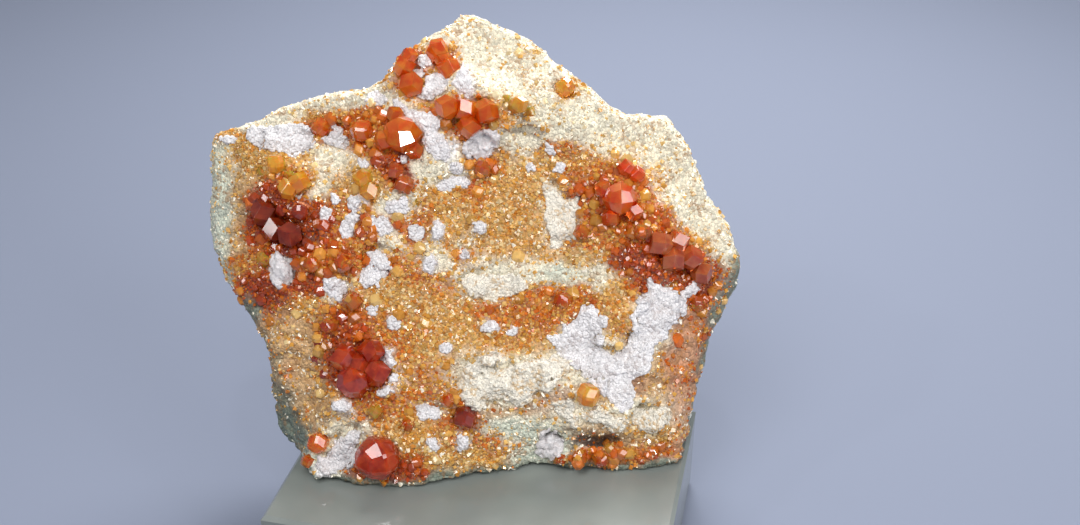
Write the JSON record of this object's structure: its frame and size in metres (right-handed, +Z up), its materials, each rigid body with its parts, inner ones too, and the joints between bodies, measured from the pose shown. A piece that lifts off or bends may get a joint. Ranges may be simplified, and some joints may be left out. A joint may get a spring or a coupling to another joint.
{
  "type": "spessartine garnet specimen on a display block",
  "caption": "Slab of rock crusted with orange and red spessartine garnets, white feldspar and quartz, leaning back on a smooth display block.",
  "frame": {"origin": "middle of the display block's underside", "axes": "+Z up, +X across the specimen, with the crusted face looking along -Y"},
  "size_m": [0.0842, 0.0649, 0.0758],
  "materials": {
    "rock": "matte",
    "garnet_red": "gloss",
    "garnet_bright": "gloss",
    "garnet_orange": "gloss",
    "garnet_amber": "gloss",
    "garnet_brown": "gloss",
    "feldspar_white": "satin",
    "feldspar_cream": "matte",
    "quartz_grey": "gloss",
    "block": "polished"
  },
  "bodies": {
    "root": {"matrix_rock": "rock", "display_block": "block", "garnet_great_red": "garnet_red", "garnet_red_cluster": "garnet_red", "garnet_dark_left": "garnet_red", "garnet_dark_left_small": "garnet_red", "garnet_dark_low": "garnet_red", "garnet_bright_red": "garnet_bright", "garnet_bright_small": "garnet_bright", "garnet_orange_heart": "garnet_orange", "garnet_ridge_row": "garnet_orange", "garnet_peak_left": "garnet_orange", "garnet_peak_right": "garnet_orange", "garnet_upper_edge": "garnet_orange", "garnet_orange_upper": "garnet_orange", "garnet_low_left": "garnet_orange", "garnet_amber_corner": "garnet_amber", "garnet_amber_pair": "garnet_amber", "garnet_yellow_middle": "garnet_amber", "garnet_amber_on_ridge": "garnet_amber", "garnet_orange_in_feldspar": "garnet_amber", "garnet_brown_pair": "garnet_brown", "garnet_brown_right": "garnet_brown", "quartz_under_ridge": "quartz_grey", "quartz_left": "quartz_grey", "quartz_low": "quartz_grey", "feldspar_upper_left": "feldspar_white", "feldspar_upper_edge": "feldspar_white", "feldspar_over_edge": "feldspar_white", "feldspar_peak": "feldspar_white", "feldspar_peak_right": "feldspar_white", "feldspar_vein": "feldspar_white", "feldspar_middle_top": "feldspar_white", "feldspar_middle_drop": "feldspar_white", "feldspar_middle_left": "feldspar_white", "feldspar_chain": "feldspar_white", "feldspar_pale_middle": "feldspar_white", "feldspar_left_of_middle": "feldspar_white", "feldspar_grey_top": "feldspar_white", "feldspar_white_streak": "feldspar_white", "feldspar_small_wide": "feldspar_white", "feldspar_cream_patch": "feldspar_cream", "feldspar_star": "feldspar_cream", "feldspar_great_y": "feldspar_cream", "feldspar_low_mass": "feldspar_cream", "feldspar_low_right": "feldspar_cream", "feldspar_low_ridge": "feldspar_cream", "feldspar_low_middle": "feldspar_cream"}
  },
  "joints": []
}
